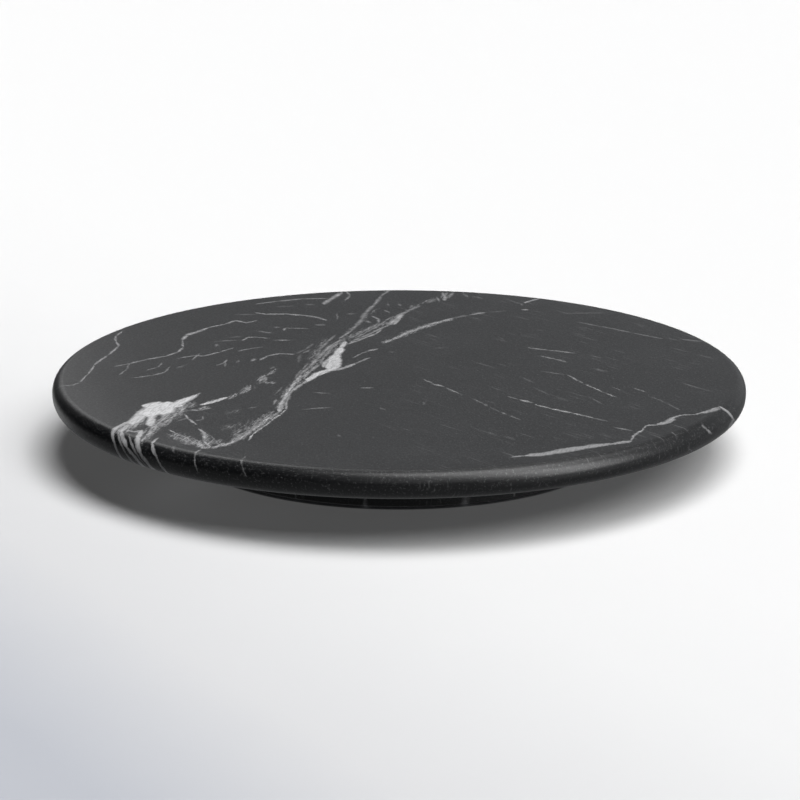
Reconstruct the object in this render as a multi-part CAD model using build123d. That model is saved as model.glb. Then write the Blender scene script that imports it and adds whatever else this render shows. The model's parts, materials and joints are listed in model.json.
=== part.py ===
from build123d import *
from math import cos, radians, sin
import os

# Stone lazy susan: a bullnosed marble turntable on a marble base, with a hidden ball-bearing swivel between them.
#
# Millimetres, +Z up. The origin is on the table, under the spin axis, so the feet stand on z = 0.
# The base slab stays still on six silicone feet. A pocket in its top face holds a pressed-steel swivel:
# a lower race screwed to the base, an upper race screwed to the turntable, and a ring of steel balls in a
# nylon cage between them. The lower race's hem hooks over the upper race, so the two slabs lift together.

# Driving dimensions
top_radius = 203.0
top_thickness = 15.5
top_edge_radius = 7.0
base_radius = 128.5
base_thickness = 25.0
base_edge_radius = 1.0
shadow_gap = 2.8  # between the base's top face and the turntable's underside
foot_proud = 1.2  # how far the feet lift the base off the table

# Feet, set in shallow recesses under the base
foot_count = 6
foot_circle_radius = 112.0
foot_radius = 8.0
foot_thickness = 3.0
foot_edge_radius = 0.5
foot_recess_clearance = 0.2

# Swivel bearing
ball_count = 18
ball_radius = 3.175
ball_circle_radius = 60.0
ball_play = 0.02  # left between a ball and each race
track_depth = 0.4
track_radius = 3.35
race_radius = 76.0
race_sheet = 1.4
race_bend = 0.6  # inner bend radius of the pressed sheet
race_edge_radius = 0.3
pocket_clearance = 3.0
cage_thickness = 2.2
cage_half_width = 4.4
cage_edge_radius = 0.4
cage_pocket_clearance = 0.12
cage_slot_radius = 1.3

# Hem that holds the two races together: a collar drawn up from the lower race and turned outwards
collar_radius = 44.6
hem_radius = 50.5
hem_top = 6.5
rim_radius = 48.0  # inner rim of the upper race, caught under the hem
rim_bottom = 3.3
step_radius = 51.8

# Fasteners, all on one circle
screw_count = 4
screw_circle_radius = 69.0
screw_radius = 2.0
screw_length = 8.0
screw_head_radius = 3.8
screw_head_height = 2.0
screw_head_edge_radius = 0.7
screw_hole_radius = 2.25
screw_point_chamfer = 0.5
cross_recess_length = 4.4
cross_recess_width = 0.9
cross_recess_depth = 1.1
insert_radius = 3.5
insert_length = 8.5
insert_bore_radius = 2.06
insert_groove_width = 1.0
insert_groove_depth = 0.4
insert_groove_count = 2
insert_hole_depth = 9.0

# Screwdriver access hole through the base, with its rubber plug
access_angle = 45.0
access_radius = 6.0
race_access_radius = 6.5
plug_stem_length = 8.0
plug_stem_bore = 4.0
plug_flange_radius = 8.0
plug_flange_thickness = 1.4
plug_recess_radius = 8.2
plug_recess_depth = 1.5

# Heights that follow from the above
base_bottom = foot_proud
base_top = base_bottom + base_thickness
turntable_bottom = base_top + shadow_gap
overall_height = turntable_bottom + top_thickness
ball_space = 2 * (ball_radius + ball_play)
bearing_height = 2 * (race_sheet - track_depth) + ball_space
pocket_floor = turntable_bottom - bearing_height
pocket_depth = base_top - pocket_floor
ball_height = pocket_floor + bearing_height / 2

# Angles of the repeated pieces; one turntable screw lines up with the access hole at rest
base_screw_start = 0.0
top_screw_start = access_angle
foot_start = 0.0
half_ball_step = 180.0 / ball_count


def around(count, radius, height, start=0.0):
    """Places evenly spaced round the spin axis, each turned to face outwards."""
    places = []
    for i in range(count):
        angle = start + i * 360.0 / count
        x = radius * cos(radians(angle))
        y = radius * sin(radians(angle))
        places.append(Pos(x, y, height) * Rot(0, 0, angle))
    return places


def disc(radius, bottom, top):
    """Upright cylinder on the spin axis between two heights."""
    return Pos(0, 0, bottom) * Cylinder(radius, top - bottom, align=(Align.CENTER, Align.CENTER, Align.MIN))


def peg(place, radius, bottom, top):
    """Upright cylinder at a place, between two heights measured from it."""
    return place * disc(radius, bottom, top)


def ring_from_profile(points, rounded):
    """Solid of revolution from a closed outline of (radius, height) points.

    rounded maps a corner's place in the list to the radius that it is rounded to.
    """
    outline = make_face(Polyline(*points, close=True))
    for index, radius in rounded.items():
        corner = Vector(*points[index])
        vertex = outline.vertices().sort_by_distance(corner)[0]
        outline = fillet(vertex, radius)
    return revolve(Plane.XZ * outline, Axis.Z)


def turntable_slab():
    """The stone disc that turns: nearly full bullnose round its edge, with blind holes for the inserts."""
    slab = disc(top_radius, turntable_bottom, overall_height)
    slab = fillet(slab.edges(), top_edge_radius)
    for place in around(screw_count, screw_circle_radius, turntable_bottom, top_screw_start):
        slab -= peg(place, insert_radius, 0, insert_hole_depth)
    return slab


def base_slab():
    """The stone disc that stands still, with the bearing pocket, insert holes, access hole and foot recesses."""
    slab = disc(base_radius, base_bottom, base_top)
    slab = fillet(slab.edges(), base_edge_radius)
    slab -= disc(race_radius + pocket_clearance, pocket_floor, base_top)
    for place in around(screw_count, screw_circle_radius, pocket_floor, base_screw_start):
        slab -= peg(place, insert_radius, -insert_hole_depth, 0)
    recess_depth = foot_thickness - foot_proud
    for place in around(foot_count, foot_circle_radius, base_bottom, foot_start):
        slab -= peg(place, foot_radius + foot_recess_clearance, 0, recess_depth)
    access = around(1, screw_circle_radius, base_bottom, access_angle)[0]
    slab -= peg(access, access_radius, 0, pocket_floor - base_bottom)
    slab -= peg(access, plug_recess_radius, 0, plug_recess_depth)
    return slab


def ball_track(height):
    """Ring of round section that presses the ball track into a race."""
    return Pos(0, 0, height) * Torus(ball_circle_radius, track_radius)


def lower_race():
    """Still half of the swivel: flat plate with a ball track, and a collar hemmed outwards at its middle."""
    outer_bend = race_bend + race_sheet
    collar_outside = collar_radius + race_sheet
    points = [
        (race_radius, 0),
        (collar_radius, 0),
        (collar_radius, hem_top),
        (hem_radius, hem_top),
        (hem_radius, hem_top - race_sheet),
        (collar_outside, hem_top - race_sheet),
        (collar_outside, race_sheet),
        (race_radius, race_sheet),
    ]
    rounded = {
        0: race_edge_radius,
        1: outer_bend,
        2: outer_bend,
        3: race_edge_radius,
        4: race_edge_radius,
        5: race_bend,
        6: race_bend,
        7: race_edge_radius,
    }
    race = ring_from_profile(points, rounded)
    race -= ball_track(race_sheet - track_depth + track_radius)
    for place in around(screw_count, screw_circle_radius, 0, base_screw_start):
        race -= peg(place, screw_hole_radius, 0, race_sheet)
    access = around(1, screw_circle_radius, 0, access_angle)[0]
    race -= peg(access, race_access_radius, 0, race_sheet)
    return Pos(0, 0, pocket_floor) * race


def upper_race():
    """Turning half of the swivel: flat plate with a ball track, dished at its middle to pass under the hem."""
    outer_bend = race_bend + race_sheet
    step_outside = step_radius + race_sheet
    underside = bearing_height - race_sheet
    points = [
        (race_radius, bearing_height),
        (step_radius, bearing_height),
        (step_radius, rim_bottom + race_sheet),
        (rim_radius, rim_bottom + race_sheet),
        (rim_radius, rim_bottom),
        (step_outside, rim_bottom),
        (step_outside, underside),
        (race_radius, underside),
    ]
    rounded = {
        0: race_edge_radius,
        1: outer_bend,
        2: race_bend,
        3: race_edge_radius,
        4: race_edge_radius,
        5: outer_bend,
        6: race_bend,
        7: race_edge_radius,
    }
    race = ring_from_profile(points, rounded)
    race -= ball_track(underside + track_depth - track_radius)
    for place in around(screw_count, screw_circle_radius, 0, top_screw_start):
        race -= peg(place, screw_hole_radius, underside, bearing_height)
    return Pos(0, 0, pocket_floor) * race


def ball_cage():
    """Nylon ring that spaces the balls: each ball snaps into a round pocket, with a relief slot between pockets."""
    half = cage_thickness / 2
    cage = disc(ball_circle_radius + cage_half_width, -half, half)
    cage -= disc(ball_circle_radius - cage_half_width, -half, half)
    cage = fillet(cage.edges().filter_by(GeomType.CIRCLE), cage_edge_radius)
    pocket = Sphere(ball_radius + cage_pocket_clearance)
    for place in around(ball_count, ball_circle_radius, 0):
        cage -= place * pocket
    for place in around(ball_count, ball_circle_radius, 0, half_ball_step):
        cage -= peg(place, cage_slot_radius, -half, half)
    return Pos(0, 0, ball_height) * cage


def ball(place):
    """One steel ball."""
    return place * Sphere(ball_radius)


def screw():
    """Pan-head machine screw with a cross recess, head up, the underside of its head at z = 0.

    The thread is left as a plain shank.
    """
    head = disc(screw_head_radius, 0, screw_head_height)
    head = fillet(head.edges().sort_by(Axis.Z)[-1], screw_head_edge_radius)
    shank = disc(screw_radius, -screw_length, 0)
    shank = chamfer(shank.edges().sort_by(Axis.Z)[0], screw_point_chamfer)
    arm = Pos(0, 0, screw_head_height) * Box(cross_recess_length, cross_recess_width, 2 * cross_recess_depth)
    crossed_arm = Rot(0, 0, 90) * arm
    return head + shank - arm - crossed_arm


def insert():
    """Brass threaded insert with evenly spaced glue grooves, its mouth at z = 0 and its body below."""
    body = disc(insert_radius, -insert_length, 0)
    body -= disc(insert_bore_radius, -insert_length, 0)
    for i in range(insert_groove_count):
        middle = -insert_length * (i + 1) / (insert_groove_count + 1)
        low = middle - insert_groove_width / 2
        high = middle + insert_groove_width / 2
        groove = disc(insert_radius, low, high) - disc(insert_radius - insert_groove_depth, low, high)
        body -= groove
    return body


def placed(piece, places):
    """A group of separate identical solids, one at each place."""
    return Compound(children=[place * piece for place in places])


def upside_down(places):
    """The same places, for pieces that point downwards."""
    return [place * Rot(180, 0, 0) for place in places]


def foot(place):
    """One silicone foot, rounded where it meets the table."""
    pad = disc(foot_radius, 0, foot_thickness)
    pad = fillet(pad.edges().sort_by(Axis.Z)[0], foot_edge_radius)
    return place * pad


def access_plug():
    """Hollow rubber plug that closes the access hole, flush with the base's underside."""
    place = around(1, screw_circle_radius, base_bottom, access_angle)[0]
    flange_bottom = plug_recess_depth - plug_flange_thickness
    plug = disc(plug_flange_radius, flange_bottom, plug_recess_depth)
    plug += disc(access_radius, plug_recess_depth, plug_stem_length)
    plug -= disc(plug_stem_bore, plug_recess_depth, plug_stem_length)
    return place * plug


def build():
    """Every piece of the lazy susan by name, in place."""
    pieces = {
        "turntable_slab": turntable_slab(),
        "base_slab": base_slab(),
        "lower_race": lower_race(),
        "upper_race": upper_race(),
        "ball_cage": ball_cage(),
        "access_plug": access_plug(),
    }
    base_fixings = around(screw_count, screw_circle_radius, pocket_floor, base_screw_start)
    top_fixings = upside_down(around(screw_count, screw_circle_radius, turntable_bottom, top_screw_start))
    on_race = Pos(0, 0, race_sheet)
    pieces["base_inserts"] = placed(insert(), base_fixings)
    pieces["base_screws"] = placed(on_race * screw(), base_fixings)
    pieces["top_inserts"] = placed(insert(), top_fixings)
    pieces["top_screws"] = placed(on_race * screw(), top_fixings)
    for i, place in enumerate(around(ball_count, ball_circle_radius, ball_height), start=1):
        pieces[f"ball_{i:02d}"] = ball(place)
    for i, place in enumerate(around(foot_count, foot_circle_radius, 0, foot_start), start=1):
        pieces[f"foot_{i}"] = foot(place)
    return pieces


os.makedirs("parts", exist_ok=True)
for name, shape in build().items():
    export_step(shape, f"parts/{name}.step")
print("overall height", overall_height)
print("bearing height", round(bearing_height, 3), "pocket floor", round(pocket_floor, 3), "depth", round(pocket_depth, 3))
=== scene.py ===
import json
import math

import bmesh
import bpy
from mathutils import Matrix, Vector


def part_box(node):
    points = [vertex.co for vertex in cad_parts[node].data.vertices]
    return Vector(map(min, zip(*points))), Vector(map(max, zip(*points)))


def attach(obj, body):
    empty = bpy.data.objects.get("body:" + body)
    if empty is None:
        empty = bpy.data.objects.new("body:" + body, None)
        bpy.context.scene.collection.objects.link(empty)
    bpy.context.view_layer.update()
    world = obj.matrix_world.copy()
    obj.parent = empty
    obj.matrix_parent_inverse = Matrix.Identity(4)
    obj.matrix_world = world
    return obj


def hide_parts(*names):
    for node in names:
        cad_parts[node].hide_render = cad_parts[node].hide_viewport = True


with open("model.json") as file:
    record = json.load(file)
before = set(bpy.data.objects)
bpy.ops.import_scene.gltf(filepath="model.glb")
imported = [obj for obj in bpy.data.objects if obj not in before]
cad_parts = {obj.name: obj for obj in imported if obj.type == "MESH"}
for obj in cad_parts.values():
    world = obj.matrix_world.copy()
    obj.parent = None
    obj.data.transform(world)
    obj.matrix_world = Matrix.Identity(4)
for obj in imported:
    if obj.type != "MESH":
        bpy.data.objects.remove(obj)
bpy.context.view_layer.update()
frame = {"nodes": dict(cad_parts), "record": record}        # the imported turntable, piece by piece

mm = 0.001
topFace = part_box("turntable_slab")[1].z
print("frame loaded,", len(frame["nodes"]), "nodes")


# Camera, set to look across the top from the front

cameraView = {
    "lens": 103.5,          # mm
    "distance": 1.358,      # m, to the middle of the top face
    "elevation": 15.31,     # degrees above the top face
    "downTilt": 16.12,      # degrees below level
    "aside": 0.0005,        # m to the right of the middle
    "sensor": 36,           # mm
    "clipStart": 0.05,      # m
}


def makeCamera(view):
    data = bpy.data.cameras.new("productCamera")
    data.lens = view["lens"]
    data.sensor_width = view["sensor"]
    data.clip_start = view["clipStart"]
    camera = bpy.data.objects.new("productCamera", data)
    rise = math.radians(view["elevation"])
    back = -view["distance"] * math.cos(rise)
    up = topFace + view["distance"] * math.sin(rise)
    camera.location = (view["aside"], back, up)
    camera.rotation_euler = (math.radians(90 - view["downTilt"]), 0, 0)
    bpy.context.scene.collection.objects.link(camera)
    bpy.context.scene.camera = camera


makeCamera(cameraView)


# Shader node helpers

def addNode(tree, kind, settings=None, **sockets):
    made = tree.nodes.new(kind)
    for name, value in (settings or {}).items():
        setattr(made, name, value)
    for name, value in sockets.items():
        plug(tree, made.inputs[name.replace("_", " ")], value)
    return made


def plug(tree, socket, value):
    if isinstance(value, bpy.types.NodeSocket):
        tree.links.new(value, socket)
    else:
        socket.default_value = value


def maths(tree, operation, *values, kind="ShaderNodeMath", output="Value"):
    made = tree.nodes.new(kind)
    made.operation = operation
    for socket, value in zip(made.inputs, values):
        plug(tree, socket, value)
    return made.outputs[output]


def vectorMaths(tree, operation, *values, output="Vector"):
    return maths(tree, operation, *values, kind="ShaderNodeVectorMath", output=output)


def scaled(tree, vector, amount):
    made = addNode(tree, "ShaderNodeVectorMath", {"operation": "SCALE"}, Vector=vector)
    made.inputs["Scale"].default_value = amount
    return made.outputs[0]


def dot(tree, first, second):
    return vectorMaths(tree, "DOT_PRODUCT", first, second, output="Value")


def noise(tree, place, grain, detail=2.0, roughness=0.5, output="Fac"):
    # grain is the size of one blotch, in the place's own unit
    made = addNode(tree, "ShaderNodeTexNoise", None, Vector=place, Scale=1 / grain,
                   Detail=detail, Roughness=roughness)
    return made.outputs[output]


def ramp(tree, value, low, high, toLow=0.0, toHigh=1.0, smooth=False):
    kind = "SMOOTHSTEP" if smooth else "LINEAR"
    made = addNode(tree, "ShaderNodeMapRange", {"interpolation_type": kind}, Value=value,
                   From_Min=low, From_Max=high, To_Min=toLow, To_Max=toHigh)
    return made.outputs[0]


def blendColour(tree, share, first, second):
    made = tree.nodes.new("ShaderNodeMix")
    made.data_type = "RGBA"
    plug(tree, made.inputs["Factor"], share)
    plug(tree, made.inputs[6], first)
    plug(tree, made.inputs[7], second)
    return made.outputs[2]


def pointInMm(tree):
    # the point on the piece, in mm from the spin axis
    return scaled(tree, addNode(tree, "ShaderNodeTexCoord").outputs["Object"], 1 / mm)


def varied(tree, pattern, spread, middle):
    # middle, more or less by half of spread as the pattern goes from 0 to 1
    return maths(tree, "MULTIPLY_ADD", maths(tree, "SUBTRACT", pattern, 0.5), spread, middle)


def addBump(tree, shader, look, height):
    made = addNode(tree, "ShaderNodeBump", None, Strength=look["bump"],
                   Distance=look["relief"], Height=height)
    plug(tree, shader.inputs["Normal"], made.outputs[0])


def newMaterial(name):
    material = bpy.data.materials.new(name)
    material.use_nodes = True
    return material, material.node_tree, material.node_tree.nodes["Principled BSDF"]


# One vein stroke: a tapered band between two points of a vein sheet

def makeStrokeGroup():
    tree = bpy.data.node_groups.new("veinStroke", "ShaderNodeTree")
    for name in ("Sheet", "Along", "Across"):
        tree.interface.new_socket(name, in_out="INPUT", socket_type="NodeSocketVector")
    for name in ("Width", "Taper", "Shade"):
        tree.interface.new_socket(name, in_out="INPUT", socket_type="NodeSocketFloat")
    tree.interface.new_socket("Vein", in_out="OUTPUT", socket_type="NodeSocketFloat")
    given = tree.nodes.new("NodeGroupInput").outputs
    along = dot(tree, given["Sheet"], given["Along"])
    across = dot(tree, given["Sheet"], given["Across"])
    ends = maths(tree, "POWER", along, given["Taper"])
    room = maths(tree, "SUBTRACT", given["Width"], maths(tree, "MULTIPLY", ends, given["Width"]))
    inside = maths(tree, "SUBTRACT", room, maths(tree, "ABSOLUTE", across))
    shade = maths(tree, "MULTIPLY", maths(tree, "MINIMUM", inside, 1.0), given["Shade"])
    out = tree.nodes.new("NodeGroupOutput")
    tree.links.new(shade, out.inputs[0])
    return tree


strokeGroup = makeStrokeGroup()


def addStroke(tree, sheet, start, end, width, shade, softness, taper):
    # the sheet's third number is always 1, so that one dot product places the stroke
    direction = (end - start).normalized()
    middle = (start + end) / 2
    edge = width / 2 * softness
    along = direction / ((end - start).length / 2)
    across = Vector((-direction.y, direction.x)) / edge
    made = tree.nodes.new("ShaderNodeGroup")
    made.node_tree = strokeGroup
    values = {"Sheet": sheet, "Along": (along.x, along.y, -middle.dot(along)),
              "Across": (across.x, across.y, -middle.dot(across)),
              "Width": width / 2 / edge, "Taper": taper, "Shade": shade}
    for name, value in values.items():
        plug(tree, made.inputs[name], value)
    return made.outputs[0]


veinForm = {
    "overlap": 0.5,         # of the width, where two strokes of a vein meet
    "slimEnd": 0.55,        # share of the width at a vein's ends
    "endTaper": 2,          # even powers only; a higher one is blunter
    "jointTaper": 4,
}


def addVeins(tree, point, veins, softness, form=veinForm):
    # a vein's pieces overlap at the joints and swell towards its middle
    total = 0.0
    for width, shade, points in veins:
        count = len(points) - 1
        for i in range(count):
            start, end = Vector(points[i]), Vector(points[i + 1])
            step = (end - start).normalized() * width * form["overlap"]
            swell = math.sin(math.pi * (i + 0.5) / count)
            reach = form["slimEnd"] + (1 - form["slimEnd"]) * swell
            if i > 0:
                start = start - step
            if i < count - 1:
                end = end + step
            taper = form["endTaper"] if count == 1 else form["jointTaper"]
            stroke = addStroke(tree, point, start, end, width * reach, shade, softness, taper)
            total = maths(tree, "MAXIMUM", total, stroke)
    return total


# The turntable's stone. Points are mm from the spin axis, seen from above, +Y away from the camera.
# A vein is (width, shade, points).

topStone = {
    "lean": (-0.9, -0.5),   # how far the vein sheets shift for each mm of depth
    "fine": [
        # left part, back to front
        (2.6, 0.40, [(-173, 88), (-176, 74), (-174, 60), (-171, 50),
                     (-176, 28), (-181, 5), (-182, -15), (-184, -34)]),
        (2.2, 0.25, [(-184, -34), (-187, -39), (-200, -41)]),
        (3.4, 0.45, [(-90, 115), (-97, 107), (-105, 113), (-110, 104), (-121, 95)]),
        (5.2, 0.50, [(-119, 97), (-126, 84), (-132, 76), (-134, 64)]),
        (3.2, 0.42, [(-134, 66), (-132, 45), (-134, 35), (-140, 26), (-151, 19), (-160, 9), (-170, 1)]),
        (1.8, 0.22, [(-160, 12), (-160, -4), (-163, -17)]),
        (2.6, 0.40, [(-134, 20), (-122, 28), (-118, 26), (-108, 36), (-100, 46)]),
        (1.8, 0.34, [(-124, 15), (-120, 34)]),
        (3.4, 0.24, [(-99, 36), (-91, 43), (-83, 48)]),
        (1.8, 0.28, [(-149, -7), (-142, 0), (-140, 12)]),
        (2.4, 0.30, [(-156, -24), (-143, -17), (-137, -10), (-135, 3)]),
        (3.0, 0.14, [(-132, -4), (-125, 8)]),
        (2.6, 0.30, [(-109, 4), (-105, 9), (-103, 18)]),
        (2.2, 0.24, [(-104, 12), (-103, 0)]),
        (3.0, 0.26, [(-97, 10), (-96, 17)]),
        (4.2, 0.42, [(-89, 13), (-86, 21)]),
        (3.0, 0.44, [(-84, 16), (-79, 27), (-72, 32), (-62, 30)]),
        (2.6, 0.24, [(-59, 31), (-53, 44)]),
        (2.8, 0.40, [(-98, 61), (-95, 70), (-89, 72), (-80, 68)]),
        (3.6, 0.34, [(-79, 64), (-65, 64)]),
        (3.6, 0.16, [(-116, 60), (-98, 64)]),
        (3.4, 0.16, [(-107, 69), (-96, 74)]),
        (3.4, 0.18, [(-112, 47), (-112, 56)]),
        (4.0, 0.30, [(-79, 96), (-74, 96)]),
        (2.6, 0.34, [(-72, 87), (-71, 94), (-57, 93)]),
        (4.0, 0.24, [(-90, 87), (-77, 80)]),
        (4.6, 0.26, [(-55, 102), (-46, 103)]),
        (4.2, 0.44, [(-94, 135), (-86, 130), (-73, 131), (-60, 126), (-52, 121), (-46, 113)]),
        (3.4, 0.16, [(-108, 129), (-90, 130)]),
        (4.4, 0.30, [(-95, 157), (-80, 166), (-65, 172), (-46, 173)]),
        (6.2, 0.50, [(-50, 156), (-46, 170), (-38, 192)]),
        (3.0, 0.30, [(-36, 196), (-33, 182), (-36, 166)]),
        (5.0, 0.20, [(-63, 157), (-54, 155)]),
        (5.0, 0.12, [(-82, 150), (-68, 153)]),
        (5.0, 0.16, [(-34, 129), (-28, 133)]),
        (2.0, 0.18, [(-40, 114), (-40, 134)]),
        # the main band's back strands
        (4.8, 0.34, [(-5, 200), (-12, 178), (-17, 155), (-21, 135),
                     (-24, 118), (-27, 100), (-30, 87), (-38, 66)]),
        (7.0, 0.22, [(25, 174), (18, 158)]),
        (5.0, 0.30, [(14, 154), (6, 140), (1, 128)]),
        (7.4, 0.56, [(2, 134), (-1, 118), (-8, 100)]),
        (3.6, 0.40, [(-4, 106), (-10, 96), (-16, 84), (-24, 70), (-31, 58)]),
        (3.0, 0.32, [(-3, 126), (-9, 112), (-14, 98), (-20, 84), (-28, 68)]),
        (3.2, 0.42, [(-18, 126), (-13, 116), (-14, 108)]),
        (2.6, 0.30, [(-13, 110), (-16, 99), (-23, 84), (-32, 66)]),
        (3.6, 0.50, [(-11, 90), (-14, 81), (-20, 72), (-26, 62), (-32, 54)]),
        (3.2, 0.40, [(-22, 114), (-18, 106)]),
        (4.2, 0.46, [(30, 166), (31, 176), (29, 190)]),
        (3.4, 0.40, [(33, 172), (37, 194)]),
        (2.8, 0.30, [(25, 180), (27, 162)]),
        (3.2, 0.24, [(42, 188), (46, 176)]),
        (5.0, 0.12, [(48, 180), (56, 172)]),
        (2.4, 0.34, [(-10, 142), (-6, 133)]),
        (2.8, 0.22, [(-8, 160), (-7, 152)]),
        (2.8, 0.24, [(-1, 160), (1, 151)]),
        (3.4, 0.22, [(8, 156), (7, 146)]),
        # its middle strands
        (3.4, 0.30, [(-40, 78), (-44, 60), (-48, 42), (-50, 24)]),
        (4.2, 0.40, [(-35, 68), (-41, 52), (-46, 36), (-49, 20), (-53, 3), (-58, -17)]),
        (3.2, 0.34, [(-37, 60), (-42, 42), (-45, 24), (-47, 6)]),
        (3.4, 0.42, [(-47, 8), (-52, -8), (-56, -24)]),
        (2.4, 0.26, [(-54, 12), (-57, -4), (-61, -24)]),
        (2.6, 0.18, [(-53, 56), (-57, 42), (-62, 32)]),
        (3.4, 0.13, [(-59, 34), (-60, 8)]),
        (4.4, 0.50, [(-51, -22), (-56, -36), (-61, -52)]),
        (3.2, 0.62, [(-57, -16), (-60, -30), (-62, -44)]),
        # arc to the right of the main band
        (4.6, 0.36, [(-10, 56), (-3, 66)]),
        (5.0, 0.44, [(-4, 64), (2, 76), (7, 85), (12, 92), (18, 102), (25, 110), (36, 121)]),
        (5.0, 0.20, [(34, 119), (46, 129)]),
        (4.6, 0.44, [(44, 127), (57, 136)]),
        (4.0, 0.12, [(56, 135), (70, 139)]),
        (2.4, 0.30, [(-28, 21), (-23, 32), (-17, 40)]),
        (4.2, 0.46, [(-20, 37), (-12, 44)]),
        (3.4, 0.36, [(-17, 24), (-24, 12), (-33, 1)]),
        (3.2, 0.10, [(20, 45), (30, 46)]),
        (3.0, 0.14, [(-7, 36), (-2, 35)]),
        # right half
        (2.8, 0.30, [(80, 154), (81, 160)]),
        (3.8, 0.56, [(82, 160), (86, 166), (93, 174)]),
        (4.2, 0.44, [(79, 142), (85, 142)]),
        (5.0, 0.10, [(100, 132), (140, 134)]),
        (3.0, 0.20, [(112, 112), (130, 95)]),
        (3.0, 0.26, [(124, 101), (145, 82), (164, 67)]),
        (3.0, 0.30, [(172, 67), (188, 60)]),
        (2.8, 0.10, [(87, 92), (91, 86)]),
        (3.2, 0.40, [(77, 46), (90, 40), (107, 32)]),
        (3.4, 0.34, [(84, 27), (94, 19), (100, 12)]),
        (2.4, 0.12, [(43, 14), (58, -3)]),
        (2.4, 0.12, [(61, 72), (65, 64)]),
        (2.6, 0.14, [(112, -1), (124, -9)]),
        (2.6, 0.20, [(82, -7), (98, -17)]),
        (2.0, 0.46, [(98, -16), (104, -30), (106, -34)]),
        (2.0, 0.48, [(107, -36), (110, -42), (117, -55)]),
        (2.0, 0.44, [(116, -53), (123, -65)]),
        (1.8, 0.30, [(133, -43), (141, -55)]),
        (1.8, 0.18, [(141, -61), (150, -76), (156, -90)]),
        (1.8, 0.16, [(70, -19), (78, -34)]),
        (1.8, 0.12, [(76, -42), (86, -60)]),
        (1.8, 0.16, [(121, -41), (128, -51)]),
        (1.6, 0.14, [(106, -61), (115, -81)]),
        (1.8, 0.12, [(88, -62), (95, -72)]),
        (2.0, 0.34, [(13, -25), (20, -36)]),
        (3.6, 0.46, [(18, -35), (26, -43)]),
        (1.8, 0.40, [(25, -42), (37, -60)]),
        (1.6, 0.24, [(40, -65), (48, -78)]),
        (2.6, 0.34, [(47, -76), (49, -81)]),
        (1.6, 0.20, [(49, -81), (57, -94)]),
        (2.2, 0.34, [(56, -92), (59, -98)]),
        (1.8, 0.24, [(59, -98), (67, -110)]),
        (2.4, 0.26, [(60, -61), (68, -69)]),
        (3.4, 0.56, [(66, -67), (76, -76)]),
        (3.2, 0.56, [(75, -77), (84, -86), (95, -95), (107, -105)]),
        (3.4, 0.16, [(104, -103), (116, -112)]),
        (2.8, 0.34, [(115, -121), (127, -130)]),
        (4.0, 0.48, [(56, -176), (70, -172), (84, -164), (100, -157), (112, -152), (124, -146)]),
        (2.6, 0.56, [(123, -147), (125, -138), (128, -132), (131, -128), (134, -119)]),
        (3.8, 0.56, [(133, -119), (141, -117), (147, -111), (150, -104), (156, -98)]),
        (2.6, 0.50, [(153, -99), (163, -98), (170, -92), (179, -82)]),
        (2.6, 0.58, [(178, -81), (182, -88), (185, -94)]),
        (2.2, 0.30, [(185, -92), (186, -104)]),
        # quiet flecks near the middle
        (3.4, 0.40, [(-23, -44), (-14, -44)]),
        (3.0, 0.26, [(-50, -54), (-38, -56)]),
        (2.6, 0.30, [(-55, -88), (-36, -84)]),
        (2.0, 0.18, [(-11, -83), (-7, -89)]),
        (1.8, 0.14, [(14, -72), (14, -80)]),
        (1.8, 0.14, [(-33, -135), (-31, -141)]),
        # on and near the rim
        (1.6, 0.40, [(164, -113), (163, -117)]),
        (1.2, 0.24, [(146, -130), (147, -136)]),
        (2.0, 0.36, [(-103, -161), (-108, -172), (-112, -179)]),
        (1.6, 0.26, [(-79, -172), (-82, -186), (-84, -191)]),
        (3.0, 0.20, [(-117, -154), (-119, -164)]),
        # lower left, between the patch and the main band
        (2.2, 0.56, [(-118, -97), (-115, -106), (-109, -118)]),
        (2.0, 0.34, [(-121, -112), (-114, -102)]),
        (1.8, 0.26, [(-108, -100), (-107, -107), (-111, -110)]),
        (2.6, 0.44, [(-115, -91), (-109, -89), (-104, -84)]),
        (2.4, 0.30, [(-111, -87), (-117, -91)]),
        (2.2, 0.34, [(-119, -74), (-113, -78)]),
        (3.0, 0.58, [(-108, -124), (-104, -133), (-103, -146), (-98, -159)]),
        (1.8, 0.50, [(-124, -126), (-117, -137), (-110, -147), (-103, -157)]),
        (1.6, 0.34, [(-125, -134), (-117, -142), (-110, -151)]),
        (1.6, 0.40, [(-110, -142), (-104, -150), (-101, -160)]),
        (1.6, 0.30, [(-100, -137), (-97, -147), (-93, -158)]),
        (1.6, 0.26, [(-104, -146), (-94, -152), (-88, -156)]),
        (2.4, 0.16, [(-84, -86), (-78, -82)]),
        (2.2, 0.14, [(-96, -122), (-91, -117)]),
        # the main band's front end, with its sharp right side
        (3.0, 0.74, [(-61, -36), (-63, -52), (-65, -66), (-66, -80), (-66, -94)]),
        (2.8, 0.50, [(-59, -42), (-62, -56), (-63, -72), (-62, -90)]),
        (2.2, 0.64, [(-62, -88), (-65, -98), (-70, -110), (-74, -121), (-78, -134), (-80, -147)]),
        (3.6, 0.42, [(-65, -92), (-70, -103), (-75, -114), (-80, -128), (-85, -142)]),
        (3.6, 0.50, [(-83, -138), (-87, -149), (-95, -158)]),
        (2.2, 0.34, [(-69, -66), (-70, -80)]),
        (1.8, 0.20, [(-67, -40), (-71, -60)]),
    ],
    "grit": [
        # the main band
        (15.0, 0.34, [(-8, 112), (-22, 88), (-36, 60), (-46, 30), (-52, 2), (-58, -22)]),
        (8.0, 0.34, [(24, 178), (14, 158), (4, 136), (-6, 112), (-16, 92), (-28, 70)]),
        (10.0, 0.34, [(-44, 72), (-50, 42), (-54, 12)]),
        (9.0, 0.52, [(29, 166), (33, 193)]),
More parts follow.
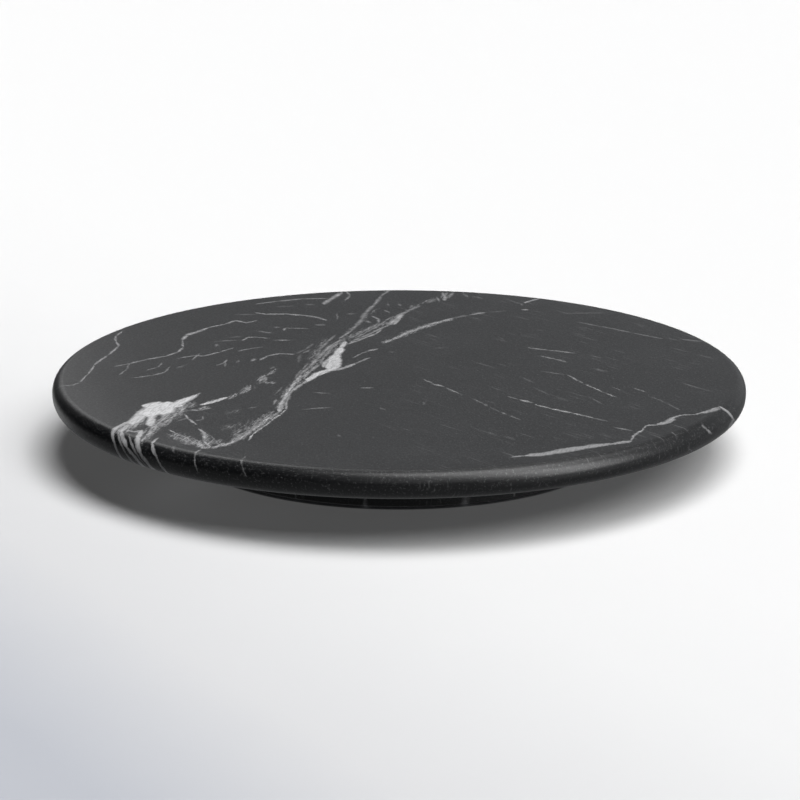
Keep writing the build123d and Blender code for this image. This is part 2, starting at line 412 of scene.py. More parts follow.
        (10.0, 0.62, [(-12, 54), (0, 72), (10, 90), (22, 106), (38, 122)]),
        (7.0, 0.26, [(-12, 150), (-20, 126), (-27, 100), (-36, 76)]),
        (9.0, 0.50, [(-56, -10), (-62, -40), (-65, -64), (-67, -92)]),
        (12.0, 0.48, [(-68, -90), (-75, -110), (-82, -130), (-89, -148)]),
        (10.0, 0.28, [(-99, -101), (-84, -84)]),
        (13.0, 0.30, [(-97, -132), (-84, -110)]),
        (16.0, 0.50, [(-90, -146), (-108, -150), (-124, -136)]),
        (10.0, 0.50, [(-48, 8), (-56, -18), (-62, -42)]),
        (6.6, 0.80, [(-60, -30), (-63, -52), (-65, -70), (-65, -94)]),
        (7.0, 0.70, [(-66, -94), (-74, -112), (-80, -130), (-86, -148)]),
        (16.0, 0.34, [(-72, -100), (-82, -120), (-90, -143)]),
        (8.0, 0.66, [(-83, -138), (-89, -151), (-98, -159), (-106, -158)]),
        (16.0, 0.44, [(-122, -130), (-112, -146), (-100, -158)]),
        (8.0, 0.52, [(-106, -126), (-102, -142), (-99, -158)]),
        (13.0, 0.66, [(-110, -142), (-100, -162)]),
        # beside the white patch, on its right
        (13.0, 0.58, [(-118, -70), (-120, -90), (-125, -108), (-130, -126)]),
        (12.0, 0.66, [(-127, -92), (-129, -112), (-133, -132), (-138, -150)]),
        (10.0, 0.44, [(-114, -70), (-116, -88)]),
        (8.0, 0.44, [(-104, -78), (-113, -92)]),
        (7.0, 0.56, [(-112, -82), (-97, -62)]),
        # dashes from the patch towards the back
        (6.4, 0.56, [(-97, -71), (-91, -52)]),
        (8.6, 0.62, [(-90, -62), (-85, -34)]),
        (4.6, 0.34, [(-84, -48), (-82, -38)]),
        (10.0, 0.64, [(-81, -38), (-77, -12)]),
        (6.0, 0.56, [(-78, -22), (-72, 0)]),
        (7.0, 0.50, [(-80, -33), (-68, -34)]),
        (4.6, 0.40, [(-77, -4), (-74, 3)]),
        # foot of the patch, down to the rim
        (20.0, 0.66, [(-138, -104), (-146, -120), (-152, -134)]),
        (10.0, 0.46, [(-132, -122), (-142, -140)]),
    ],
    "white": [
        # patch in the middle of the main band, with its tail
        (4.8, 0.74, [(-33, 62), (-35, 46), (-38, 28)]),
        (8.6, 0.86, [(-35, 48), (-38, 28), (-40, 12), (-42, -4)]),
        (8.0, 0.80, [(-38, 26), (-37, 12), (-38, -4)]),
        (6.0, 0.56, [(-42, 20), (-45, -1)]),
        (7.0, 0.86, [(-36, 2), (-43, -8), (-49, -17), (-54, -31)]),
        (4.2, 0.48, [(-26, 9), (-32, 0), (-40, -7), (-46, -14)]),
        # broad parts of the vein at the lower right
        (8.8, 0.44, [(64, -174), (80, -167), (96, -159), (110, -153)]),
        (4.4, 0.42, [(98, -159), (112, -153), (124, -147)]),
        (5.8, 0.42, [(140, -117), (146, -112), (151, -104)]),
        (4.8, 0.40, [(166, -97), (180, -84)]),
        (4.2, 0.44, [(178, -82), (185, -92)]),
        # end of the back strand
        (3.6, 0.46, [(2, 130), (0, 116), (-4, 102)]),
        # patch at the lower left, its spike, and its feet
        (8.4, 0.94, [(-112, -53), (-134, -99)]),
        (13.0, 1.00, [(-144, -81), (-137, -80), (-128, -80), (-119, -81)]),
        (18.0, 0.98, [(-134, -72), (-136, -88), (-138, -103)]),
        (16.0, 0.96, [(-129, -72), (-129, -86), (-130, -99)]),
        (11.0, 0.84, [(-140, -86), (-142, -102), (-145, -118)]),
        (7.4, 0.80, [(-135, -88), (-135, -106), (-134, -121)]),
        (7.0, 0.56, [(-129, -88), (-129, -102)]),
        (4.8, 0.80, [(-111, -80), (-104, -73), (-97, -63)]),
        (4.6, 0.66, [(-146, -110), (-152, -122), (-155, -130)]),
        (3.0, 0.46, [(-141, -112), (-143, -124)]),
        # the streaks that run over the rim
        (3.4, 0.60, [(-154, -124), (-157, -136), (-161, -146)]),
        (4.2, 0.66, [(-146, -116), (-149, -130), (-149, -145), (-147, -158)]),
        (2.6, 0.46, [(-151, -131), (-153, -146), (-153, -158)]),
        (4.4, 0.66, [(-138, -126), (-139, -140), (-142, -153), (-142, -166)]),
        (2.8, 0.44, [(-144, -134), (-145, -158)]),
        (3.0, 0.54, [(-128, -141), (-131, -150), (-132, -160), (-135, -170)]),
        (2.6, 0.44, [(-148, -126), (-142, -130), (-138, -127)]),
    ],
}


def stretched(tree, place, turn, sizes):
    # blotches of noise with these sizes in mm, along a direction given in degrees from +X
    made = addNode(tree, "ShaderNodeMapping", {"vector_type": "TEXTURE"}, Vector=place,
                   Rotation=(0, 0, math.radians(turn)), Scale=sizes)
    return made.outputs[0]


def stoneMaterial(name, look, layers, topHeight):
    material, tree, shader = newMaterial(name)
    point = pointInMm(tree)
    place = addNode(tree, "ShaderNodeSeparateXYZ", None, Vector=point).outputs
    depth = maths(tree, "SUBTRACT", topHeight / mm, place["Z"])
    lean = addNode(tree, "ShaderNodeCombineXYZ", None, X=maths(tree, "MULTIPLY", depth, layers["lean"][0]),
                   Y=maths(tree, "MULTIPLY", depth, layers["lean"][1]),
                   Z=maths(tree, "SUBTRACT", 1.0, place["Z"])).outputs[0]
    sheet = vectorMaths(tree, "ADD", point, lean)

    # the veins wander a little, slowly and then quickly
    slow = noise(tree, point, look["slowGrain"], 1, output="Color")
    quick = noise(tree, point, look["quickGrain"], 3, 0.65, output="Color")
    slow = vectorMaths(tree, "SUBTRACT", slow, (0.5, 0.5, 0.5))
    quick = vectorMaths(tree, "SUBTRACT", quick, (0.5, 0.5, 0.5))
    slow = vectorMaths(tree, "MULTIPLY", slow, (look["slowDrift"], look["slowDrift"], 0))
    quick = vectorMaths(tree, "MULTIPLY", quick, (look["quickDrift"], look["quickDrift"], 0))
    sheet = vectorMaths(tree, "ADD", sheet, vectorMaths(tree, "ADD", slow, quick))

    grain = noise(tree, point, look["grain"], 3, 0.75)
    fibre = noise(tree, stretched(tree, point, look["fibreTurn"], look["fibreSize"]), 1, 3, 0.65)

    # hair veins, paler and darker along their way
    fine = addVeins(tree, sheet, layers["fine"], 1.0)
    fading = ramp(tree, noise(tree, point, look["fadeGrain"], 2, 0.6), *look["fade"])
    fine = maths(tree, "MULTIPLY", fine, fading)
    total = maths(tree, "MULTIPLY", fine, ramp(tree, grain, *look["speckle"]))

    # bands of crumbs
    if layers["grit"]:
        spread = addVeins(tree, sheet, layers["grit"], 1.0)
        mix = varied(tree, grain, look["gritGrain"], spread)
        mix = varied(tree, fibre, look["gritFibre"], mix)
        crumbs = ramp(tree, mix, *look["crumbs"])
        crumbs = maths(tree, "MULTIPLY", crumbs, ramp(tree, spread, *look["gritEdge"]))
        total = maths(tree, "MAXIMUM", total, crumbs)

    # solid calcite
    if layers["white"]:
        solid = addVeins(tree, sheet, layers["white"], look["whiteSoftness"])
        solid = maths(tree, "MULTIPLY", solid, ramp(tree, fibre, *look["whiteFibre"]))
        total = maths(tree, "MAXIMUM", total, solid)

    # short faint scratches, mostly on one side
    threads = noise(tree, stretched(tree, point, look["threadTurn"], look["threadSize"]), 1, 1)
    threads = ramp(tree, threads, *look["threadCut"], 0.0, look["threads"])
    threads = maths(tree, "MULTIPLY", threads, ramp(tree, place["X"], *look["threadSide"]))
    patches = ramp(tree, noise(tree, point, look["threadPatch"], 1), *look["threadPatchCut"])
    threads = maths(tree, "MULTIPLY", threads, patches)
    total = maths(tree, "MAXIMUM", total, threads)

    # the dark ground: slow clouds and a few pale grains
    clouds = ramp(tree, noise(tree, point, look["cloudGrain"], 3, 0.55), *look["cloudCut"])
    ground = blendColour(tree, clouds, look["dark"], look["cloud"])
    crystals = noise(tree, point, look["crystal"], 2, 0.8)
    crystals = ramp(tree, crystals, *look["crystalCut"], 0.0, look["sparkle"])
    ground = blendColour(tree, crystals, ground, look["vein"])
    plug(tree, shader.inputs["Base Color"], blendColour(tree, total, ground, look["vein"]))

    shader.inputs["Specular IOR Level"].default_value = look["specular"]
    dull, polished = look["roughness"] + look["roughMore"], look["roughness"] - look["roughLess"]
    polish = ramp(tree, noise(tree, point, look["polishGrain"], 3, 0.7), *look["polishCut"], polished, dull)
    plug(tree, shader.inputs["Roughness"], maths(tree, "MULTIPLY_ADD", total, look["veinRough"], polish))
    hone = noise(tree, point, look["honeGrain"], 3, 0.75)
    addBump(tree, shader, look, hone)
    return material


# Sizes are mm. Lists of four are (noise from, noise to, share from, share to).
stoneLook = {
    "dark": (0.0040, 0.0043, 0.0050, 1),
    "cloud": (0.0075, 0.0079, 0.0088, 1),
    "cloudGrain": 45,
    "cloudCut": (0.35, 0.65),
    "vein": (0.66, 0.66, 0.67, 1),
    "crystal": 1.2,
    "crystalCut": (0.56, 0.74),
    "sparkle": 0.13,
    "specular": 0.5,
    "roughness": 0.35,
    "roughMore": 0.06,
    "roughLess": 0.05,
    "veinRough": 0.08,
    "polishGrain": 1.6,
    "polishCut": (0.3, 0.7),
    "bump": 0.7,
    "honeGrain": 0.8,
    "relief": 0.06 * mm,
    "slowGrain": 26,
    "slowDrift": 3.0,
    "quickGrain": 3.0,
    "quickDrift": 2.4,
    "grain": 0.9,
    "fadeGrain": 5.5,
    "fade": (0.34, 0.6, 0.5, 1.15),
    "speckle": (0.3, 0.6, 0.75, 1.1),
    "fibreTurn": 74,        # degrees from +X
    "fibreSize": (6.0, 1.1, 3.0),
    "gritGrain": 1.6,
    "gritFibre": 1.8,
    "gritEdge": (0.02, 0.25),
    "crumbs": (0.22, 1.0, 0.0, 0.72),
    "whiteSoftness": 0.5,
    "whiteFibre": (0.36, 0.56, 0.62, 1.0),
    "threadTurn": -50,
    "threadSize": (26.0, 1.3, 6.0),
    "threadCut": (0.65, 0.79),
    "threadSide": (-40, 60, 0.15, 1.0),
    "threadPatch": 34,
    "threadPatchCut": (0.42, 0.58),
    "threads": 0.17,
}
topStoneMaterial = stoneMaterial("blackMarbleTop", stoneLook, topStone, topFace)
print("stone for the turntable:", len(topStoneMaterial.node_tree.nodes), "nodes")


# Round pieces: a profile of (radius, height) points turned about the spin axis

onAxis = 1e-9       # closer to the spin axis than this counts as on it


def newPiece(name, mesh):
    data = bpy.data.meshes.new(name)
    mesh.to_mesh(data)
    mesh.free()
    piece = bpy.data.objects.new(name, data)
    bpy.context.scene.collection.objects.link(piece)
    return piece


def revolve(name, profile, turns=256, closed=False):
    mesh = bmesh.new()
    rings = []
    for radius, height in profile:
        if radius < onAxis:
            rings.append([mesh.verts.new((0, 0, height))] * turns)
            continue
        ring = []
        for i in range(turns):
            angle = math.tau * i / turns
            ring.append(mesh.verts.new((radius * math.cos(angle), radius * math.sin(angle), height)))
        rings.append(ring)
    pairs = list(zip(rings, rings[1:] + rings[:1])) if closed else list(zip(rings, rings[1:]))
    for lower, upper in pairs:
        for i in range(turns):
            j = (i + 1) % turns
            corners = []
            for corner in (lower[i], lower[j], upper[j], upper[i]):
                if corner not in corners:
                    corners.append(corner)
            if len(corners) > 2:
                mesh.faces.new(corners)
    bmesh.ops.recalc_face_normals(mesh, faces=mesh.faces)
    return newPiece(name, mesh)


def quarter(centre, radius, first, last, steps):
    # points of a round edge; angles in degrees, 0 outwards and 90 up
    points = []
    for i in range(steps + 1):
        angle = math.radians(first + (last - first) * i / steps)
        points.append((centre[0] + radius * math.cos(angle), centre[1] + radius * math.sin(angle)))
    return points


def smoothSides(piece, angle=32):
    piece.data.shade_smooth()
    piece.data.set_sharp_from_angle(angle=math.radians(angle))


def finishPiece(piece, node, body, material):
    piece.data.materials.clear()
    piece.data.materials.append(material)
    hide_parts(node)
    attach(piece, body)


def slabProfile(radius, bottom, top, edge, rings, steps=16):
    # from the middle of the underside, round the edge, to the middle of the top
    points = [(radius * share, bottom) for share in rings]
    points += quarter((radius - edge, bottom + edge), edge, -90, 0, steps)
    points += quarter((radius - edge, top - edge), edge, 0, 90, steps)
    points += [(radius * share, top) for share in reversed(rings)]
    return points


def cutHoles(piece, name, holes, sides=48):
    # holes are upright round ones: (x, y, radius, bottom, top)
    cutters = bmesh.new()
    for x, y, radius, bottom, top in holes:
        place = Matrix.Translation((x, y, (bottom + top) / 2))
        bmesh.ops.create_cone(cutters, cap_ends=True, segments=sides, radius1=radius, radius2=radius,
                              depth=top - bottom, matrix=place)
    cutter = newPiece(name, cutters)
    cut = piece.modifiers.new("holes", "BOOLEAN")
    cut.operation = "DIFFERENCE"
    cut.solver = "EXACT"
    cut.object = cutter
    result = bpy.data.meshes.new_from_object(piece.evaluated_get(bpy.context.evaluated_depsgraph_get()))
    piece.modifiers.clear()
    piece.data = result
    bpy.data.objects.remove(cutter)


def around(count, radius, start=0.0):
    angles = [math.radians(start + 360 * i / count) for i in range(count)]
    return [(radius * math.cos(angle), radius * math.sin(angle)) for angle in angles]


slabShape = {
    "turntableTurns": 384,
    "turntableEdge": 7 * mm,
    "baseEdge": 1 * mm,
    "pocketRadius": 79 * mm,
    "pocketDepth": 5.59 * mm,
    "pocketCorner": 1.2 * mm,
    "boltCircle": 69 * mm,
    "inserts": 4,
    "insertHole": (3.5 * mm, 9 * mm),       # radius, depth
    "upperTurn": 45,                        # degrees from the base's inserts to the turntable's
    "feet": 6,
    "footCircle": 112 * mm,
    "footRecess": (8.2 * mm, 1.8 * mm),
    "accessHole": 6 * mm,
    "plugRecess": (8.2 * mm, 1.5 * mm),
    "past": 2 * mm,                         # how far a cutter stands out of the stone
    "rings": (0, 0.3, 0.6, 0.85),           # shares of the radius where flat faces are divided
    "pocketRings": (0.7, 0.35, 0),
    "arrisSteps": 6,
}


def makeTurntableSlab(shape):
    low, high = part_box("turntable_slab")
    profile = slabProfile(high.x, low.z, high.z, shape["turntableEdge"], shape["rings"])
    slab = revolve("turntableSlab", profile, shape["turntableTurns"])
    radius, deep = shape["insertHole"]
    start = low.z - shape["past"]
    places = around(shape["inserts"], shape["boltCircle"], shape["upperTurn"])
    holes = [(x, y, radius, start, low.z + deep) for x, y in places]
    cutHoles(slab, "insertHoles", holes)
    smoothSides(slab)
    finishPiece(slab, "turntable_slab", "turntable", topStoneMaterial)


def makeBaseSlab(shape):
    low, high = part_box("base_slab")
    edge = shape["baseEdge"]
    floor = high.z - shape["pocketDepth"]
    pocket = shape["pocketRadius"]
    corner = shape["pocketCorner"]
    profile = [(high.x * share, low.z) for share in shape["rings"]]
    steps = shape["arrisSteps"]
    profile += quarter((high.x - edge, low.z + edge), edge, -90, 0, steps)
    profile += quarter((high.x - edge, high.z - edge), edge, 0, 90, steps)
    profile += quarter((pocket + edge / 2, high.z - edge / 2), edge / 2, 90, 180, steps - 2)
    profile += quarter((pocket - corner, floor + corner), corner, 0, -90, steps)
    profile += [(pocket * share, floor) for share in shape["pocketRings"]]
    slab = revolve("baseSlab", profile)
    past = shape["past"]
    radius, deep = shape["insertHole"]
    places = around(shape["inserts"], shape["boltCircle"])
    holes = [(x, y, radius, floor - deep, floor + past) for x, y in places]
    radius, deep = shape["footRecess"]
    places = around(shape["feet"], shape["footCircle"])
    holes += [(x, y, radius, low.z - past, low.z + deep) for x, y in places]
    x, y = around(1, shape["boltCircle"], shape["upperTurn"])[0]
    radius, deep = shape["plugRecess"]
    cutHoles(slab, "baseHoles", holes + [(x, y, radius, low.z - past, low.z + deep)])
    cutHoles(slab, "accessHole", [(x, y, shape["accessHole"], low.z - past, floor + past)])
    smoothSides(slab)
    finishPiece(slab, "base_slab", "base", baseMaterial)


baseStone = {
    "lean": (0.05, 0.0),
    "fine": [
        (3.2, 0.32, [(-14, -112), (-19, -135)]),
        (5.0, 0.34, [(37, -112), (38, -135)]),
        (2.0, 0.44, [(64, -108), (65, -118)]),
        (1.6, 0.14, [(-54, -108), (-56, -122)]),
        (2.4, 0.30, [(-135, 40), (-96, 20), (-60, 30), (-10, 14), (30, 24)]),
        (3.0, 0.34, [(60, 128), (48, 92), (54, 60), (40, 30), (46, -10), (30, -50)]),
        (1.8, 0.24, [(96, 88), (80, 60), (84, 30), (70, 4)]),
        (2.2, 0.26, [(-90, -92), (-66, -60), (-60, -20), (-40, 10)]),
        (1.8, 0.22, [(-40, 124), (-30, 90), (-44, 60)]),
        (1.8, 0.22, [(132, -20), (100, -34), (80, -60)]),
    ],
    "grit": [
        (9.0, 0.50, [(58, 126), (50, 92), (52, 60)]),
        (7.0, 0.44, [(-92, -92), (-68, -62), (-60, -30)]),
    ],
    "white": [],
}
# its wall is left duller than the top
baseLook = dict(stoneLook, specular=0.24, roughness=0.5, sparkle=0.07)
baseMaterial = stoneMaterial("blackMarbleBase", baseLook, baseStone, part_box("base_slab")[1].z)
makeTurntableSlab(slabShape)
makeBaseSlab(slabShape)
print("slabs made")


# Finishes of the bearing, fasteners, feet and plug

def metal(name, look):
    material, tree, shader = newMaterial(name)
    point = pointInMm(tree)
    blotches = ramp(tree, noise(tree, point, look["blotch"], 3, 0.6), *look["mottle"])
    colour = blendColour(tree, blotches, look["colour"], look["second"])
    pits = noise(tree, point, look["pit"], 2, 0.7)
    dirt = ramp(tree, pits, *look["pitCut"], 0.0, look["dirt"])
    plug(tree, shader.inputs["Base Color"], blendColour(tree, dirt, colour, look["dirtColour"]))
    shader.inputs["Metallic"].default_value = 1.0
    # turning or rolling marks run round the spin axis
    level = vectorMaths(tree, "MULTIPLY", point, (1, 1, 0))
    outwards = vectorMaths(tree, "LENGTH", level, output="Value")
    upwards = addNode(tree, "ShaderNodeSeparateXYZ", None, Vector=point).outputs["Z"]
    lines = addNode(tree, "ShaderNodeCombineXYZ", None, X=maths(tree, "MULTIPLY", outwards, look["marks"]),
                    Y=maths(tree, "MULTIPLY", upwards, look["marks"])).outputs[0]
    marks = noise(tree, lines, 1, 2, 0.5)
    smudges = noise(tree, point, look["blotch"] * look["smudge"], 3, 0.6)
    rough = varied(tree, smudges, look["roughSpread"], look["rough"])
    rough = varied(tree, marks, look["markRough"], rough)
    plug(tree, shader.inputs["Roughness"], rough)
    height = maths(tree, "MULTIPLY_ADD", pits, look["pitShare"], marks)
    addBump(tree, shader, look, height)
    return material


def plastic(name, look):
    material, tree, shader = newMaterial(name)
    point = pointInMm(tree)
    clouds = ramp(tree, noise(tree, point, look["cloudSize"], 3, 0.6), *look["mottle"])
    colour = blendColour(tree, clouds, look["colour"], look["second"])
    dust = ramp(tree, noise(tree, point, look["grain"], 3, 0.8), *look["dustCut"], 0.0, look["dust"])
    plug(tree, shader.inputs["Base Color"], blendColour(tree, dust, colour, look["dustColour"]))
    skin = noise(tree, point, look["grain"], 3, 0.7)
    plug(tree, shader.inputs["Roughness"], varied(tree, skin, look["roughSpread"], look["rough"]))
    shader.inputs["Specular IOR Level"].default_value = look["specular"]
    addBump(tree, shader, look, skin)
    return material


# Sizes are mm. Cuts are where a pattern begins and is full.
metals = {
    "zinc_steel": {
        "colour": (0.58, 0.59, 0.60, 1), "second": (0.66, 0.66, 0.64, 1), "blotch": 9.0,
        "pit": 0.5, "dirt": 0.35, "dirtColour": (0.30, 0.29, 0.27, 1), "marks": 1.6,
        "rough": 0.34, "roughSpread": 0.30, "markRough": 0.16, "bump": 0.35,
    },
    "screw_steel": {
        "colour": (0.46, 0.47, 0.48, 1), "second": (0.56, 0.56, 0.55, 1), "blotch": 2.0,
        "pit": 0.3, "dirt": 0.45, "dirtColour": (0.16, 0.15, 0.14, 1), "marks": 3.0,
        "rough": 0.30, "roughSpread": 0.30, "markRough": 0.12, "bump": 0.4,
    },
    "ball_steel": {
        "colour": (0.70, 0.70, 0.71, 1), "second": (0.76, 0.76, 0.76, 1), "blotch": 1.8,
        "pit": 0.25, "dirt": 0.25, "dirtColour": (0.42, 0.38, 0.30, 1), "marks": 0.4,
        "rough": 0.12, "roughSpread": 0.14, "markRough": 0.04, "bump": 0.06,
    },
    "brass": {
        "colour": (0.74, 0.55, 0.25, 1), "second": (0.83, 0.66, 0.35, 1), "blotch": 2.4,
        "pit": 0.35, "dirt": 0.40, "dirtColour": (0.34, 0.24, 0.12, 1), "marks": 4.0,
        "rough": 0.32, "roughSpread": 0.26, "markRough": 0.20, "bump": 0.5,
    },
}
allMetals = {"mottle": (0.32, 0.68), "pitCut": (0.62, 0.72), "pitShare": 0.6, "smudge": 0.7,
             "relief": 0.01 * mm}
plastics = {
    "nylon": {
        "colour": (0.74, 0.72, 0.64, 1), "second": (0.80, 0.78, 0.72, 1), "cloudSize": 7.0,
        "grain": 0.35, "dust": 0.35, "dustColour": (0.52, 0.48, 0.38, 1),
        "rough": 0.46, "roughSpread": 0.25, "specular": 0.45, "bump": 0.3,
    },
    "silicone": {
        "colour": (0.040, 0.040, 0.042, 1), "second": (0.055, 0.055, 0.058, 1), "cloudSize": 5.0,
        "grain": 0.30, "dust": 0.30, "dustColour": (0.22, 0.21, 0.20, 1),
        "rough": 0.62, "roughSpread": 0.20, "specular": 0.35, "bump": 0.4,
    },
    "rubber": {
        "colour": (0.022, 0.022, 0.023, 1), "second": (0.034, 0.034, 0.035, 1), "cloudSize": 3.0,
        "grain": 0.25, "dust": 0.30, "dustColour": (0.13, 0.125, 0.12, 1),
        "rough": 0.72, "roughSpread": 0.18, "specular": 0.3, "bump": 0.5,
    },
}
allPlastics = {"mottle": (0.32, 0.68), "dustCut": (0.56, 0.72), "relief": 0.03 * mm}
finishes = {slot: metal(slot, {**allMetals, **look}) for slot, look in metals.items()}
finishes.update({slot: plastic(slot, {**allPlastics, **look}) for slot, look in plastics.items()})
print("finishes made:", ", ".join(finishes))


# Bearing

bearing = {
    "floor": 20.61 * mm,                # the lower race lies on it
    "height": 8.39 * mm,
    "sheet": 1.4 * mm,
    "radius": 76 * mm,
    "edge": 0.3 * mm,                   # rounding of a cut edge
    "innerBend": 0.6 * mm,
    "outerBend": 2.0 * mm,
    "collar": (44.6 * mm, 50.5 * mm, 6.5 * mm),         # inner radius, hem radius, height
    "rim": (48 * mm, 51.8 * mm, 3.3 * mm),              # inner radius, step radius, height of its underside
    "ballCircle": 60 * mm,
    "ballRadius": 3.175 * mm,
    "ballCount": 18,
    "ballFaces": (40, 24),              # round its middle, from pole to pole
    "trackRadius": 3.35 * mm,
    "trackDepth": 0.4 * mm,
    "screwHole": 2.25 * mm,
    "accessHole": 6.5 * mm,
    "turns": 288,
}


def roundedOutline(corners, steps=5):
    # corners are (radius, height, rounding); every corner is square
    outline = []
    for i, (radius, height, rounding) in enumerate(corners):
        corner = Vector((radius, height))
        before = (Vector(corners[i - 1][:2]) - corner).normalized() * rounding
        after = (Vector(corners[(i + 1) % len(corners)][:2]) - corner).normalized() * rounding
        centre = corner + before + after
        for k in range(steps + 1):
            angle = math.pi / 2 * k / steps
            outline.append(tuple(centre - after * math.cos(angle) - before * math.sin(angle)))
    return outline


def trackArc(plate, side, steps=16):
    # the ball track's section, seen from the middle outwards; side is 1 where it opens upwards
    radius = bearing["trackRadius"]
    centre = (bearing["ballCircle"], plate + side * (radius - bearing["trackDepth"]))
    half = math.degrees(math.acos((radius - bearing["trackDepth"]) / radius))
    return quarter(centre, radius, -side * (90 + half), -side * (90 - half), steps)


def lowerSection(shape):
    inner, hem, tall = shape["collar"]
    sheet, edge, small, large = shape["sheet"], shape["edge"], shape["innerBend"], shape["outerBend"]
    corners = [(shape["radius"], 0, edge), (inner, 0, large), (inner, tall, large), (hem, tall, edge),
               (hem, tall - sheet, edge), (inner + sheet, tall - sheet, small),
               (inner + sheet, sheet, small), (shape["radius"], sheet, edge)]
    return corners, trackArc(sheet, 1)


def upperSection(shape):
    inner, step, low = shape["rim"]
    sheet, edge, small, large = shape["sheet"], shape["edge"], shape["innerBend"], shape["outerBend"]
    plate = shape["height"] - sheet
    corners = [(shape["radius"], shape["height"], edge), (step, shape["height"], large),
               (step, low + sheet, small), (inner, low + sheet, edge), (inner, low, edge),
               (step + sheet, low, large), (step + sheet, plate, small), (shape["radius"], plate, edge)]
    return corners, trackArc(plate, -1)


def makeRace(name, node, body, section, plate, start, access):
    # plate is the flat part's underside; start turns the screw holes; access counts access holes
    corners, track = section
    outline = roundedOutline(corners)
    last = len(outline) // len(corners)
    outline[-last:-last] = track            # the track lies on the edge before the last corner
    lift = bearing["floor"]
    outline = [(radius, height + lift) for radius, height in outline]
    race = revolve(name, outline, bearing["turns"], closed=True)
    past = slabShape["past"]
    low, high = lift + plate - past, lift + plate + bearing["sheet"] + past
    circle = slabShape["boltCircle"]
    places = around(slabShape["inserts"], circle, start)
    holes = [(x, y, bearing["screwHole"], low, high) for x, y in places]
    places = around(access, circle, slabShape["upperTurn"])
    holes += [(x, y, bearing["accessHole"], low, high) for x, y in places]
    cutHoles(race, name + "Holes", holes)
    smoothSides(race)
    finishPiece(race, node, body, finishes["zinc_steel"])


def makeBalls(shape):
    height = shape["floor"] + shape["height"] / 2
    across, along = shape["ballFaces"]
    for i, (x, y) in enumerate(around(shape["ballCount"], shape["ballCircle"])):
        node = f"ball_{i + 1:02d}"
        outline = quarter((0, 0), shape["ballRadius"], -90, 90, along)
        ball = revolve(f"steelBall{i + 1:02d}", outline, across)
        ball.data.transform(Matrix.Translation((x, y, height)))
        smoothSides(ball, 60)
        finishPiece(ball, node, node, finishes["ball_steel"])


makeRace("lowerRace", "lower_race", "base", lowerSection(bearing), 0, 0, 1)
upperPlate = bearing["height"] - bearing["sheet"]
upperTurn = slabShape["upperTurn"]
makeRace("upperRace", "upper_race", "turntable", upperSection(bearing), upperPlate, upperTurn, 0)
makeBalls(bearing)
print("bearing made")

# every other CAD piece keeps its shape and gets its slot's finish
for part in frame["record"]["subparts"]:
    if part["material_slot"] in finishes:
        for place in frame["nodes"][part["node"]].material_slots:
            place.material = finishes[part["material_slot"]]
print("finishes given")


# Floor and light

def colourRamp(tree, value, stops):
    made = addNode(tree, "ShaderNodeValToRGB", None, Fac=value)
    elements = made.color_ramp.elements
    for i, (position, colour) in enumerate(stops):
        stop = elements[i] if i < 2 else elements.new(position)
        stop.position = position
        stop.color = colour
    return made.outputs["Color"]


def makeFloor(look):
    mesh = bmesh.new()
    bmesh.ops.create_grid(mesh, x_segments=look["cells"], y_segments=look["cells"], size=look["halfSize"])
    floor = newPiece("floor", mesh)
    material, tree, shader = newMaterial("floorPaperPaintedLight")
    here = addNode(tree, "ShaderNodeTexCoord").outputs["Object"]
    # painted shade: the floor's colour darkens and turns bluish towards one side, standing in for light
    # falling off there
    across = dot(tree, here, look["paintedShadeTowards"])
    across = varied(tree, noise(tree, here, look["wanderGrain"], 2), look["paintedShadeWander"], across)
    stops = [(position, (*colour, 1)) for position, colour in look["fade"]]
    paintedShadeColour = colourRamp(tree, ramp(tree, across, look["paintedShadeFrom"], look["paintedShadeTo"]), stops)
    plug(tree, shader.inputs["Base Color"], paintedShadeColour)
    shader.inputs["Roughness"].default_value = look["roughness"]
    shader.inputs["Specular IOR Level"].default_value = 0.0
    shader.inputs["Emission Color"].default_value = (1, 1, 1, 1)
    # painted light: the floor glows evenly, a painted fill that lifts its shadows; the glow stops right
    # under the base, a painted contact shadow there
    outwards = vectorMaths(tree, "LENGTH", here, output="Value")
    contactShadowEnd = look["contactShadowRadius"] + look["contactShadowEdge"]
    glow = ramp(tree, outwards, look["contactShadowRadius"], contactShadowEnd, 0.0, look["glow"])
    plug(tree, shader.inputs["Emission Strength"], glow)
    floor.data.materials.append(material)
    # the stone mirrors the studio, not this sheet
    floor.visible_diffuse = False
    floor.visible_glossy = False
    floor.visible_shadow = False


def placeLamp(name, data, towards, distance, seenBy):
    lamp = bpy.data.objects.new(name, data)
    lamp.location = Vector(towards).normalized() * distance
    lamp.rotation_euler = Vector(towards).to_track_quat("Z", "Y").to_euler()
    lamp.visible_camera = False
    lamp.visible_diffuse = "diffuse" in seenBy
    lamp.visible_glossy = "glossy" in seenBy
    bpy.context.scene.collection.objects.link(lamp)


def distantLight(name, distance, towards, spread, strength, mirrored):
    # towards points from the turntable to the light; spread is the light's apparent size in degrees.
    # Only a share of it is mirrored in the stone, as from a softbox with a dark middle.
    parts = (("Lit", 1 - mirrored, ["diffuse"]), ("Seen", mirrored, ["diffuse", "glossy"]))
    for part, share, seenBy in parts:
        data = bpy.data.lights.new(name + part, "SUN")
        data.angle = math.radians(spread)
        data.energy = strength * share
        placeLamp(name + part, data, towards, distance, seenBy)


def panelLight(name, distance, towards, width, height, radiance):
    # a panel that only shows as a reflection
    data = bpy.data.lights.new(name, "AREA")
    data.shape = "RECTANGLE"
    data.size = width
    data.size_y = height
    data.energy = radiance * math.pi * width * height
    placeLamp(name, data, towards, distance, ["glossy"])


